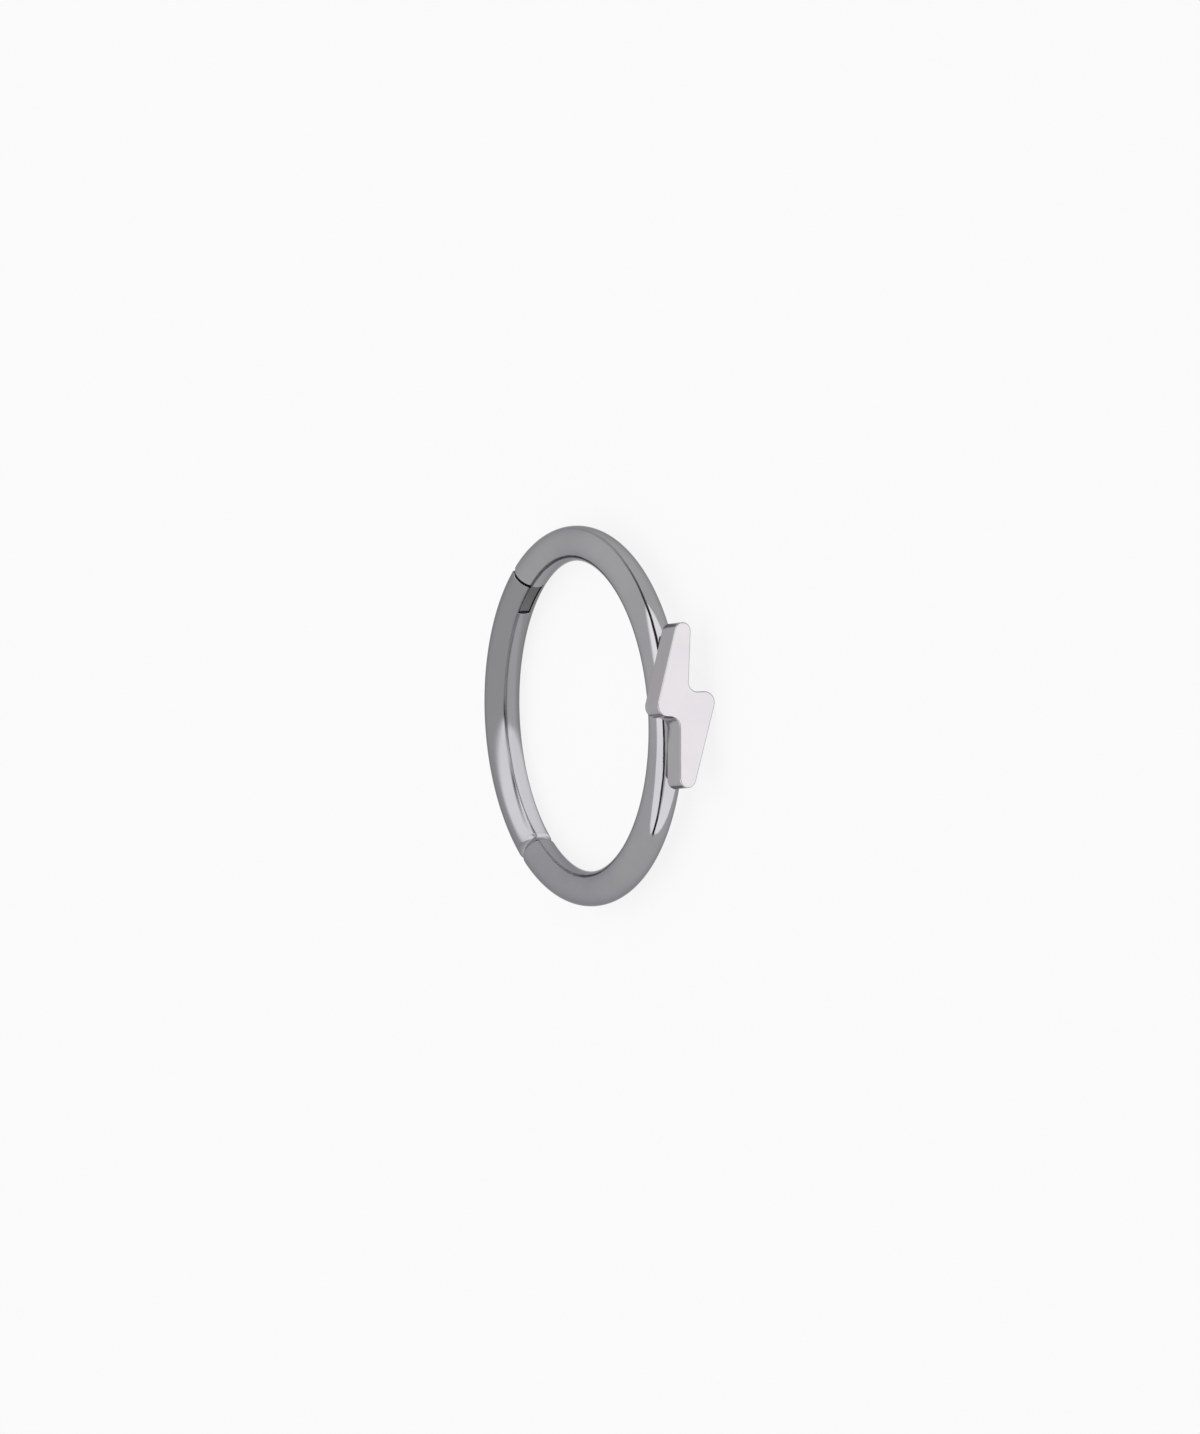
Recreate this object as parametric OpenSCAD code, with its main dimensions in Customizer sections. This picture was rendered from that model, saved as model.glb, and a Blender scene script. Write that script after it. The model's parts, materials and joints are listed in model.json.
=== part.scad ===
// Hinged clicker hoop with a flat lightning bolt soldered to the outside of the ring.
// The closed hoop lies on its side. The ring's own axis is close to Z, and the bolt faces +X.
// The bolt is wider than the wire, so the hoop rests on the bolt's lower tip and on the far
// side of the wire, and the whole ring leans by a few degrees.

/* [Ring] */
// Diameter of the round wire
wire_d = 1.02; // [0.98:0.02:1.1]
// Clear diameter inside the closed ring
inner_d = 9; // [8.5:0.1:11]

/* [Gate hinge] */
// Place of the hinge pin, in degrees around the ring from the bolt
pin_deg = 128.4; // [120:0.2:132]
// Diameter of the hinge pin
pin_d = 0.35; // [0.3:0.01:0.4]
// Thickness of the middle tongue on the hoop, which the gate's two ears straddle
tongue_t = 0.32; // [0.26:0.02:0.36]
// Depth that the tongue lies below the wire's inner side
tongue_sink = 0.06; // [0.02:0.01:0.08]
// Slant of the seam on the inner half of the wire
seam_slant_deg = 4; // [0:1:20]
// Running gap at the hinge seam and at the end of the tongue
seam_gap = 0.05; // [0.03:0.01:0.06]
// Running gap on each flat side of the tongue
side_gap = 0.03; // [0.02:0.01:0.04]
// Play of the tongue's hole around the pin, on the radius
pin_play = 0.02; // [0.02:0.01:0.04]

/* [Clasp] */
// Place of the clasp seam, in degrees around the ring from the bolt
clasp_deg = 228; // [225:0.5:232]
// Radius that the rim of the hoop's end is turned to
hoop_rim_r = 0.14; // [0.08:0.01:0.15]
// Radius that the rim of the gate's end is turned to
gate_rim_r = 0.2; // [0.08:0.01:0.21]
// Gap between the two ends at the clasp
clasp_gap = 0.03; // [0.02:0.01:0.05]
// Width of the nose that snaps into the hoop's end
nose_w = 0.3; // [0.24:0.02:0.32]
// Thickness of the nose along the ring's axis
nose_t = 0.34; // [0.28:0.02:0.36]
// Length of the nose past the seam
nose_len = 0.34; // [0.2:0.02:0.4]
// Gap between the nose and its pocket
nose_gap = 0.03; // [0.02:0.01:0.04]

/* [Lightning bolt] */
// Thickness of the plate
bolt_t = 0.8; // [0.6:0.05:1]
// Depth that the solder joint sinks the plate's back into the wire
bolt_sink = 0.07; // [0.05:0.01:0.12]

/* [Hidden] */
$fn = 96;

wire_r = wire_d / 2;
ring_r = inner_d / 2 + wire_r;
pin_r = pin_d / 2;
slot_t = tongue_t + 2 * side_gap;

// Half the clasp gap, as an angle around the ring
clasp_half_deg = asin(clasp_gap / 2 / ring_r);
// Cutters reach this far past what they cut
past = 0.3;
// Angle that a wire end runs past the pin before its own shape is cut, and the length that
// the hinge's cutters reach along the wire to clear it
overrun_deg = 10;
overrun = 1.2;

// The ears' outer corners are round about the pin, just outside the outermost point of an ear
swing_clearance = 0.007;
ear_r = sqrt(pow(wire_r, 2) - pow(slot_t / 2, 2)) + swing_clearance;

// The shoulder's flat outer part just clears the ears' corners as they swing past
shoulder_r = ear_r + seam_gap;
shoulder_corner = shoulder_r * [sin(seam_slant_deg), -cos(seam_slant_deg)];

// The tongue ends this far outside the wire's radius about the pin, and the slot a gap after it
tongue_reach = 0.03;
tongue_end = wire_r + tongue_reach;
slot_end = tongue_end + seam_gap;

// Share of its radius that a turned rim is drawn out by, so that it meets the wire at a shallow
// angle, as a rim does that was turned and then buffed
buffed = 0.06;

// The nose follows a circle about the pin, so the gate swings it straight out of its pocket.
// It stands off the wire's middle, and starts this deep inside the gate's end.
nose_offset = 0.08;
nose_root = 0.18;
// Facets in the full circle that the nose follows
nose_facets = 720;
nose_start = at_ring(ring_r + nose_offset, clasp_deg) - at_ring(ring_r, pin_deg);
nose_r = norm(nose_start);
nose_deg = atan2(nose_start.y, nose_start.x);
nose_arc = 180 / (PI * nose_r);

// Corners of the bolt's outline. Along runs with the wire, across is the ring's axis.
ALONG = 0;
ACROSS = 1;
RADIUS = 2;
BOLT = [
    // along, across, corner radius
    [2.37, 0.13, 0.28],
    [2.4, -0.37, 0.25],
    [0.365, -0.13, 0.27],
    [0.365, -1.105, 0.32],
    [-2.41, -0.12, 0.28],
    [-2.38, 0.355, 0.25],
    [-0.355, 0.21, 0.29],
    [-0.27, 1.025, 0.32],
];
corner_steps = 10;

// Resting place: the lean at which the bolt's lower tip and the wire's far side touch the floor
bolt_back = ring_r + wire_r - bolt_sink;
bolt_front = bolt_back + bolt_t;
bolt_low = -min([for (p = bolt_outline()) p.y]);
reach = norm([bolt_low, ring_r + bolt_back]);
lean_deg = acos(wire_r / reach) - atan2(ring_r + bolt_back, bolt_low);
lift = ring_r * sin(lean_deg) + wire_r;
far_side = -ring_r * cos(lean_deg) - wire_r;
near_side = bolt_front * cos(lean_deg) + bolt_low * sin(lean_deg);
centre_x = (far_side + near_side) / 2;

function at_ring(radius, deg) = radius * [cos(deg), sin(deg)];
function unit(v) = v / norm(v);
function turned(v, deg) = [v.x * cos(deg) - v.y * sin(deg), v.x * sin(deg) + v.y * cos(deg)];

// The points of one rounded corner, from one straight side to the next
function rounded_corner(before, corner, after, radius) =
    let (
        a = unit(before - corner),
        b = unit(after - corner),
        half = acos(a * b) / 2,
        centre = corner + unit(a + b) * radius / sin(half),
        first = corner + a * radius / tan(half) - centre,
        last = corner + b * radius / tan(half) - centre,
        sweep = (180 - 2 * half) * sign(cross([first.x, first.y, 0], [last.x, last.y, 0]).z)
    )
    [for (i = [0 : corner_steps]) centre + turned(first, sweep * i / corner_steps)];

function corner_at(i) =
    let (row = BOLT[(i + len(BOLT)) % len(BOLT)])
    [row[ALONG], row[ACROSS]];

function bolt_outline() = [
    for (i = [0 : len(BOLT) - 1])
    for (p = rounded_corner(corner_at(i - 1), corner_at(i), corner_at(i + 1), BOLT[i][RADIUS])) p
];

// Places its children in the lying ring
module lying() {
    translate([-centre_x, 0, lift]) rotate([0, -lean_deg, 0]) children();
}

// A length of the round wire between two angles
module wire(from_deg, to_deg) {
    rotate([0, 0, from_deg])
        rotate_extrude(angle = to_deg - from_deg)
            translate([ring_r, 0]) circle(r = wire_r);
}

// Local frame at the pin: X points out of the ring, Y along the wire towards the clasp
module at_pin() {
    translate(at_ring(ring_r, pin_deg)) rotate([0, 0, pin_deg]) children();
}

// Local frame at the clasp seam: X points out of the ring, Y along the wire
module at_clasp(deg) {
    translate(at_ring(ring_r, deg)) rotate([0, 0, deg]) children();
}

// A flat shape stood up as a slab between two heights
module slab(low, high) {
    translate([0, 0, low]) linear_extrude(high - low) children();
}

// The space on the hoop that belongs to the ears: a slanted shoulder on the inner part
// of the wire and a flat one outside, where the ears' round corners need room
module ear_space_outline() {
    inner_x = -wire_r - past;
    inner_y = shoulder_corner.y + (inner_x - shoulder_corner.x) * tan(seam_slant_deg);
    polygon([
        [inner_x, inner_y],
        shoulder_corner,
        [wire_r + past, shoulder_corner.y],
        [wire_r + past, overrun],
        [inner_x, overrun],
    ]);
}

// What is cut off the tongue's inner side, so that it lies below the ears
module tongue_sink_outline() {
    intersection() {
        ear_space_outline();
        translate([-ring_r, 0]) circle(r = inner_d / 2 + tongue_sink);
    }
}

// What is cut off the ears' ends: the slant continues as a circle about the pin
module ear_end_outline() {
    inner_x = -wire_r - past;
    touch = ear_r * [sin(seam_slant_deg), -cos(seam_slant_deg)];
    inner_y = touch.y + (inner_x - touch.x) * tan(seam_slant_deg);
    difference() {
        polygon([
            [inner_x, inner_y],
            touch,
            [0, 0],
            [wire_r + past, 0],
            [wire_r + past, -overrun],
            [inner_x, -overrun],
        ]);
        circle(r = ear_r);
    }
}

// What is cut off the tongue's end: flat inside, round about the pin outside
module tongue_end_outline() {
    side = wire_r + past;
    difference() {
        polygon([
            [-side, tongue_end],
            [0, tongue_end],
            [0, 0],
            [side, 0],
            [side, overrun],
            [-side, overrun],
        ]);
        circle(r = tongue_end);
    }
}

// Turns the sharp rim of a wire end. The end face lies at Y = 0 and the wire runs to +Y.
module rim_cutter(rim_r) {
    inside = wire_r - rim_r * (1 - buffed);
    rotate([-90, 0, 0])
        rotate_extrude()
            difference() {
                translate([inside, -rim_r]) square([rim_r + past, 2 * rim_r]);
                translate([inside, rim_r]) circle(r = rim_r);
            }
}

// The nose, or its pocket when grown by a gap
module nose(grow, root) {
    from_deg = nose_deg - root * nose_arc;
    to_deg = nose_deg + (nose_len + grow) * nose_arc;
    translate(at_ring(ring_r, pin_deg))
        rotate([0, 0, from_deg])
            rotate_extrude(angle = to_deg - from_deg, $fn = nose_facets)
                translate([nose_r - nose_w / 2 - grow, -nose_t / 2 - grow])
                    square([nose_w + 2 * grow, nose_t + 2 * grow]);
}

// The lightning bolt, standing out from the wire
module bolt_plate() {
    translate([bolt_back, 0, 0])
        rotate([90, 0, 90])
            linear_extrude(bolt_t) polygon(bolt_outline());
}

// The fixed part of the ring, with the bolt soldered on
module hoop() {
    from_deg = clasp_deg + clasp_half_deg - 360;
    color("#96969b") lying() difference() {
        union() {
            wire(from_deg, pin_deg + overrun_deg);
            bolt_plate();
        }
        at_pin() {
            slab(tongue_t / 2, wire_r + past) ear_space_outline();
            slab(-wire_r - past, -tongue_t / 2) ear_space_outline();
            slab(-tongue_t, tongue_t) tongue_end_outline();
            slab(-tongue_t, tongue_t) tongue_sink_outline();
            cylinder(r = pin_r + pin_play, h = 2 * tongue_t, center = true);
        }
        at_clasp(from_deg) rim_cutter(hoop_rim_r);
        nose(nose_gap, nose_root + clasp_gap);
    }
}

// The swinging part, with two ears at the hinge and the nose at the clasp
module gate() {
    to_deg = clasp_deg - clasp_half_deg;
    color("#909298") lying() union() {
        difference() {
            wire(pin_deg - overrun_deg, to_deg);
            at_pin() {
                slab(-wire_r - past, wire_r + past) ear_end_outline();
                slab(-slot_t / 2, slot_t / 2)
                    translate([-wire_r - past, -overrun])
                        square([2 * (wire_r + past), overrun + slot_end]);
                cylinder(r = pin_r, h = 2 * (wire_r + past), center = true);
            }
            at_clasp(to_deg) mirror([0, 1, 0]) rim_cutter(gate_rim_r);
        }
        nose(0, nose_root);
    }
}

// The pin, pressed into both ears and dressed flush with the wire
module hinge_pin() {
    color("#85868b") lying() intersection() {
        at_pin() cylinder(r = pin_r, h = 2 * (wire_r + past), center = true);
        wire(pin_deg - overrun_deg, pin_deg + overrun_deg);
    }
}

hoop();
gate();
hinge_pin();
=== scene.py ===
# %% [markdown]
# # A clicker hoop with a lightning bolt
# This lesson models a small piece of body jewellery: a ring of round polished wire with a hinged
# gate, and a flat lightning bolt soldered to its outside. The ring is 11 mm across, and it lies
# on its side on a pale table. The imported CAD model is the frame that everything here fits.
# It is loaded first, and its sizes and places are never changed.

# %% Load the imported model
import json
import math
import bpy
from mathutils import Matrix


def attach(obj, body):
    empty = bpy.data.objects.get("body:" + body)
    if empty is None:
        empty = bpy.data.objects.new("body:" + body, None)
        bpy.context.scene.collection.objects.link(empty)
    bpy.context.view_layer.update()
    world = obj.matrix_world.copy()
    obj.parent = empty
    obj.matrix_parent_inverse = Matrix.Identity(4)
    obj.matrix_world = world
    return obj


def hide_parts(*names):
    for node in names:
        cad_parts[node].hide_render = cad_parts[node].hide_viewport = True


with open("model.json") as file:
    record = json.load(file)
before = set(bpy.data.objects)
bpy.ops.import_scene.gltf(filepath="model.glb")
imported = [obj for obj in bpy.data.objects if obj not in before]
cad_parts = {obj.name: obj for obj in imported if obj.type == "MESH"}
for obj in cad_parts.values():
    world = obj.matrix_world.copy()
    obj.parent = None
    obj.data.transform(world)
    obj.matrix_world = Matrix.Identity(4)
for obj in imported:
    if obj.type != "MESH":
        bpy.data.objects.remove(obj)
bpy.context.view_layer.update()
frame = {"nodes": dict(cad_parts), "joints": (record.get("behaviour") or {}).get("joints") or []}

from types import SimpleNamespace

import bmesh
import bpy
from mathutils import Matrix, Vector

# %% [markdown]
# ## Where the ring lies
# The ring is thinner than its bolt is wide, so on a table the bolt's lower tip lifts one side and
# the whole ring leans by 2.5 degrees. Modelling on a slant is awkward. Every piece is therefore
# made in the ring's own frame, with the ring's middle at the origin, its axis along Z and the bolt
# on the +X side. The last step leans the finished mesh, moves it, and applies both to it.
# The work is done at a thousand times real size, one unit to the millimetre, because modelling
# tools merge points that are a few thousandths of a unit apart. HAIR is how near two places have to
# be to count as one, and ROUND is the number of sides of a small cylinder.

# %% Sizes of the ring in millimetres
MM = 0.001
HAIR = 0.001
WIRE_R = 0.51
RING_R = 5.01
ROUND = 64
hinge = frame["joints"][0]
ring_axis = -Vector(hinge["axis"]).normalized()
LEAN = math.atan2(-ring_axis.x, ring_axis.z)
PIN_DEG = 128.4
CLASP_DEG = 228.0
pin_place = Vector(hinge["pos_m"]) / MM


def at_ring(radius, degrees):
    """A point in the ring's plane, by radius and by angle from the bolt."""
    return Vector((math.cos(math.radians(degrees)), math.sin(math.radians(degrees)), 0)) * radius


lean = Matrix.Rotation(-LEAN, 4, "Y")
ring_centre = pin_place - lean @ at_ring(RING_R, PIN_DEG)
print("lean %.3f degrees, ring centre" % math.degrees(LEAN), [round(v, 4) for v in ring_centre])

# %% [markdown]
# ## Hand tools
# A few short helpers stand in for the mouse. An operator acts on whatever is selected, so each
# primitive is added with nothing else selected, and faces or edges are then picked by their place
# or the way they face.

# %% Helpers for adding and picking
def add(kind, **options):
    """Adds one primitive, selected alone."""
    bpy.ops.object.select_all(action="DESELECT")
    getattr(bpy.ops.mesh, "primitive_" + kind + "_add")(**options)
    return bpy.context.active_object


def edit():
    bpy.ops.object.mode_set(mode="EDIT")


def done():
    bpy.ops.object.mode_set(mode="OBJECT")


def pick(obj, what, test):
    """In edit mode, selects only the faces, edges or vertices that pass the test."""
    bpy.ops.mesh.select_mode(type={"faces": "FACE", "edges": "EDGE", "verts": "VERT"}[what])
    bpy.ops.mesh.select_all(action="DESELECT")
    mesh = bmesh.from_edit_mesh(obj.data)
    mesh.normal_update()
    chosen = [part for part in getattr(mesh, what) if test(part)]
    for part in chosen:
        part.select_set(True)
    bmesh.update_edit_mesh(obj.data)
    return len(chosen)


def middle(part):
    """The middle of a face or an edge."""
    return sum((v.co for v in part.verts), Vector()) / len(part.verts)


def only(obj):
    """Makes one object the selected and active one."""
    bpy.ops.object.select_all(action="DESELECT")
    obj.select_set(True)
    bpy.context.view_layer.objects.active = obj


# %% [markdown]
# A piece's place could stay on its object, but a mesh is easier to follow when it is where it looks
# to be. So each move is applied to the mesh at once. A boolean modifier cuts one solid out of
# another, as a milling cutter does, and it is applied at once too.

# %% Helpers for placing and cutting
def apply_place():
    """Moves the selected object's place, turn and scale into its mesh."""
    bpy.ops.object.transform_apply(location=True, rotation=True, scale=True)


def put(obj, place=(0, 0, 0), turn_deg=0.0):
    """Turns an object about Z, moves it, and applies both to its mesh."""
    only(obj)
    obj.matrix_world = Matrix.Translation(place) @ Matrix.Rotation(math.radians(turn_deg), 4, "Z")
    apply_place()
    return obj


def combine(obj, tool, way):
    """Cuts a tool out of a piece, or joins it on, and throws the tool away."""
    only(obj)
    cut = obj.modifiers.new("cut", "BOOLEAN")
    cut.operation = way
    cut.solver = "EXACT"
    cut.object = tool
    bpy.ops.object.modifier_apply(modifier=cut.name)
    bpy.data.objects.remove(tool)


# %% [markdown]
# The outline of a cutter is drawn as with a pencil: one vertex is extruded from corner to corner,
# the outline is filled, and the face is pulled up to a solid. What is round along the ring is spun
# instead. Both can leave a solid inside out, so its faces are turned outwards at the end.

# %% Helpers for drawing and spinning
def pull(way):
    """In edit mode, extrudes what is selected."""
    bpy.ops.mesh.extrude_region_move(TRANSFORM_OT_translate={"value": way})


def trace(places):
    """Merges a plane to one vertex, extrudes it from place to place, and stays in edit mode."""
    obj = add("plane", size=0.01)
    edit()
    bpy.ops.mesh.select_mode(type="VERT")
    bpy.ops.mesh.select_all(action="SELECT")
    bpy.ops.mesh.merge(type="CENTER")
    bpy.ops.transform.translate(value=places[0])
    for a, b in zip(places, places[1:]):
        pull(b - a)
    bpy.ops.mesh.select_all(action="SELECT")
    return obj


def draw(points, low, high):
    """Draws a flat outline, fills it and stands it up between two heights."""
    obj = trace([Vector((x, y, low)) for x, y in points])
    bpy.ops.mesh.edge_face_add()
    pull((0, 0, high - low))
    face_out()
    done()
    return obj


def spin(degrees, steps, centre=(0, 0, 0)):
    """Spins what is selected about Z, counterclockwise seen from above."""
    # With no window the operator turns the other way, so the angle changes sign
    bpy.ops.mesh.spin(steps=steps, angle=-math.radians(degrees), center=centre, axis=(0, 0, 1))


def face_out():
    """Turns all faces of the closed mesh outwards. A spin can leave them inside out."""
    bpy.ops.mesh.select_all(action="SELECT")
    bpy.ops.mesh.normals_make_consistent(inside=False)


# %% [markdown]
# A solid with a hole in its skin can't be cut or printed, and the eye misses such holes. So each
# finished piece reports its triangles, and the edges that don't have two faces.

# %% Helpers for measuring
def open_edges(obj):
    """Counts the edges that don't have two faces. A closed piece has none."""
    mesh = bmesh.new()
    mesh.from_mesh(obj.data)
    count = sum(1 for e in mesh.edges if len(e.link_faces) != 2)
    mesh.free()
    return count


def report(obj):
    """Prints how many triangles a piece has, and whether it is closed."""
    triangles = sum(len(p.vertices) - 2 for p in obj.data.polygons)
    print("%s: %d triangles, %d open edges" % (obj.name, triangles, open_edges(obj)))


# %% [markdown]
# ## The round wire
# The real ring is a length of round wire bent around a former. It could be cut from a torus, but a
# cut leaves an end face that no longer lines up with the wire's own edges. Here one filled circle
# is spun around the ring's axis instead. The spin gives clean quads along the wire, and a clean
# round edge at each end for the bevel. The first and last steps are longer than the others, so that
# the bevel at the clasp has room and doesn't run over the next row of quads.

# %% Spin a length of wire
SECTION_POINTS = 128
DEGREES_PER_STEP = 0.7
END_STEP_DEG = 2.2


def spin_wire(name, from_deg, to_deg):
    """A solid length of the ring's wire between two angles."""
    obj = add("circle", vertices=SECTION_POINTS, radius=WIRE_R, fill_type="NGON",
              location=(RING_R, 0, 0), rotation=(math.pi / 2, 0, 0))
    obj.name = name
    apply_place()
    put(obj, turn_deg=from_deg)
    edit()
    bpy.ops.mesh.select_all(action="SELECT")
    between = to_deg - from_deg - 2 * END_STEP_DEG
    spin(END_STEP_DEG, 1)
    spin(between, round(between / DEGREES_PER_STEP))
    spin(END_STEP_DEG, 1)
    face_out()
    done()
    return obj


# %% [markdown]
# ## Rounded ends at the clasp
# Where gate and ring meet at the clasp, both ends are buffed round, and the photo shows a small
# notch there. A bevel on the rim of the end face makes that rounding. A narrow inset on the flat
# that is left keeps the flat face flat under smooth shading, because its corners then share
# normals with nothing that slopes.

# %% Bevel the rim of a wire end
CLASP_GAP = 0.03
HOOP_RIM_R = 0.14
GATE_RIM_R = 0.2
clasp_half_deg = math.degrees(CLASP_GAP / 2 / RING_R)
HOLDING = 0.012


def round_end(obj, degrees, radius):
    """Rounds the rim of the wire end at an angle around the ring."""
    centre, along = at_ring(RING_R, degrees), at_ring(1, degrees + 90)

    def on_end(part):
        return all(abs((v.co - centre).dot(along)) < HAIR for v in part.verts)

    only(obj)
    edit()
    rim = pick(obj, "edges", on_end)
    bpy.ops.mesh.bevel(offset=radius, segments=10, profile=0.5, affect="EDGES")
    flat = pick(obj, "faces", lambda f: on_end(f) and len(f.verts) > 4)
    bpy.ops.mesh.inset(thickness=HOLDING)
    done()
    print("rounded", rim, "rim edges and inset", flat, "end face of", obj.name)


# %% [markdown]
# ## The hinge
# The hoop ends in a flat middle tongue, and the gate in two ears that straddle it. On the real
# piece both are milled with a small cutter and then turn on a pin. Booleans do the milling here.
# Each cutter is an outline drawn in the pin's own frame, where X points out of the ring and Y
# along the wire towards the clasp. The shoulder slants a little on the inner side of the wire, as
# the seam in the photo does, and the ears' outer corners are round so that they can swing. The
# tongue lies a little below the ears on the inner side, which is why it looks darker there.

# %% Sizes of the hinge and the ear outlines
# All in millimetres, apart from the two angles and the number of steps
TONGUE_HALF = 0.16
SLOT_HALF = 0.19
TONGUE_END = 0.54
TONGUE_SINK = 0.06
SLOT_END = 0.59
EAR_R = 0.48
SEAM_GAP = 0.105
SLANT = math.radians(4)
PIN_R = 0.175
HOLE_R = 0.195
SIDE = WIRE_R + 0.3
OVERRUN_DEG = 10.0
BEYOND = 1.0
ARC_STEPS = 24
HINGE_REACH = 1.5


def slanted_to(corner):
    """From a corner, the seam's slanted line back to a point inside the ring."""
    return (-SIDE, corner[1] - (SIDE + corner[0]) * math.tan(SLANT))


def arc(radius, from_deg, to_deg):
    """Points on a circle about the pin."""
    step = (to_deg - from_deg) / ARC_STEPS
    turns = [math.radians(from_deg + step * i) for i in range(ARC_STEPS + 1)]
    return [(radius * math.cos(t), radius * math.sin(t)) for t in turns]


shoulder = ((EAR_R + SEAM_GAP) * math.sin(SLANT), -(EAR_R + SEAM_GAP) * math.cos(SLANT))
ear_arc = arc(EAR_R, math.degrees(SLANT) - 90, 0)
ear_space = [slanted_to(shoulder), shoulder, (SIDE, shoulder[1]), (SIDE, BEYOND), (-SIDE, BEYOND)]
ear_end = [slanted_to(ear_arc[0]), *ear_arc, (SIDE, 0), (SIDE, -2 * BEYOND), (-SIDE, -2 * BEYOND)]
tongue_arc = arc(TONGUE_END, 90, 0)
tongue_end = [(-SIDE, TONGUE_END), *tongue_arc, (SIDE, 0), (SIDE, 2 * BEYOND), (-SIDE, 2 * BEYOND)]
slot = [(-SIDE, -2 * BEYOND), (SIDE, -2 * BEYOND), (SIDE, SLOT_END), (-SIDE, SLOT_END)]
sunk_r = RING_R - WIRE_R + TONGUE_SINK
sunk_deg = [math.degrees(math.asin(y / sunk_r)) for y in (BEYOND, shoulder[1])]
sunk_side = [(x - RING_R, y) for x, y in arc(sunk_r, *sunk_deg)]
tongue_sink = [(-SIDE, BEYOND), *sunk_side, (-SIDE, shoulder[1])]
print("seam %.3f mm, tongue %.2f mm thick, slot %.2f mm wide" % (
    SEAM_GAP, 2 * TONGUE_HALF, 2 * SLOT_HALF))


def mill(obj, outline, low, high):
    """Cuts an outline, drawn in the pin's frame, out of a piece."""
    combine(obj, put(draw(outline, low, high), at_ring(RING_R, PIN_DEG), PIN_DEG), "DIFFERENCE")


def drill(obj, radius, half_depth):
    """Drills along the pin, evenly to both sides of the wire's middle."""
    tool = add("cylinder", vertices=ROUND, radius=radius, depth=2 * half_depth)
    combine(obj, put(tool, at_ring(RING_R, PIN_DEG), PIN_DEG), "DIFFERENCE")


# %% [markdown]
# ## The snap
# The clasp's nose is a small bar on the gate that slides into a pocket in the hoop. It is hidden
# while the ring is shut and shows once the gate swings open. Its sides follow a circle about the
# pin, so that it leaves the pocket without rubbing. A small rectangle, spun about the pin, makes
# both the nose and the cutter for its pocket.

# %% Spin the nose and its pocket
NOSE_W = 0.3
NOSE_T = 0.34
NOSE_LENGTH = 0.34
NOSE_ROOT = 0.18
NOSE_GAP = 0.03
NOSE_OFFSET = 0.08
NOSE_STEPS = 6
pin_in_ring = at_ring(RING_R, PIN_DEG)
nose_arm = at_ring(RING_R + NOSE_OFFSET, CLASP_DEG) - pin_in_ring
nose_r = nose_arm.length
nose_deg = math.degrees(math.atan2(nose_arm.y, nose_arm.x))
print("the nose's middle turns on a circle of %.2f mm about the pin" % nose_r)


def spin_nose(grow, root):
    """The nose, or the space for it when grown by a gap."""
    start = nose_deg - math.degrees(root / nose_r)
    length = math.degrees((root + NOSE_LENGTH + grow) / nose_r)
    obj = add("plane", size=1, location=(nose_r, 0, 0), rotation=(math.pi / 2, 0, 0))
    obj.scale = (NOSE_W + 2 * grow, NOSE_T + 2 * grow, 1)
    apply_place()
    put(obj, pin_in_ring, start)
    edit()
    bpy.ops.mesh.select_all(action="SELECT")
    spin(length, NOSE_STEPS, pin_in_ring)
    face_out()
    done()
    return obj


# %% [markdown]
# ## Breaking the edges
# A milled edge is never knife sharp: a buffing wheel takes a few hundredths of a millimetre off.
# Without that rounding the edge would catch no light. After the cuts, tiny slivers are merged
# away, and then every edge that is still sharp gets a fine bevel.

# %% Break the sharp edges
SLIVER = 0.004
EDGE_BREAK = 0.014
SHARP = math.radians(40)


def break_edges(obj, near, reach):
    """Bevels the sharp edges within reach of a point."""
    only(obj)
    edit()
    pick(obj, "verts", lambda v: (v.co - near).length < reach)
    bpy.ops.mesh.remove_doubles(threshold=SLIVER)

    def sharp(edge):
        return (middle(edge) - near).length < reach and edge.calc_face_angle() > SHARP

    count = pick(obj, "edges", sharp)
    bpy.ops.mesh.bevel(offset=EDGE_BREAK, segments=3, profile=0.5, affect="EDGES")
    done()
    print("broke", count, "edges of", obj.name)


# %% [markdown]
# ## Into the frame
# A finished piece leaves the ring's own frame. It could keep its lean and its scale in the object,
# but then a pattern on Object coordinates would turn with it. So both are applied to the mesh, and
# the object itself stays at the origin, unturned.
# Smooth shading with a limit on the angle keeps the round wire round and the milled edges crisp.

# %% Finish a piece and lay it in the frame
SMOOTH_DEG = 35


def lay_down(obj):
    """Leans and moves a finished mesh into the frame, in metres, and shades it."""
    only(obj)
    obj.matrix_world = Matrix.Scale(MM, 4) @ Matrix.Translation(ring_centre) @ lean
    apply_place()
    bpy.ops.object.shade_smooth_by_angle(angle=math.radians(SMOOTH_DEG))
    report(obj)


# %% [markdown]
# ## The hoop's wire
# The fixed part of the ring runs from the clasp, past the bolt, to the tongue at the hinge. The
# spin goes ten degrees past the pin, so that the tongue is milled from full round wire.

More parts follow.
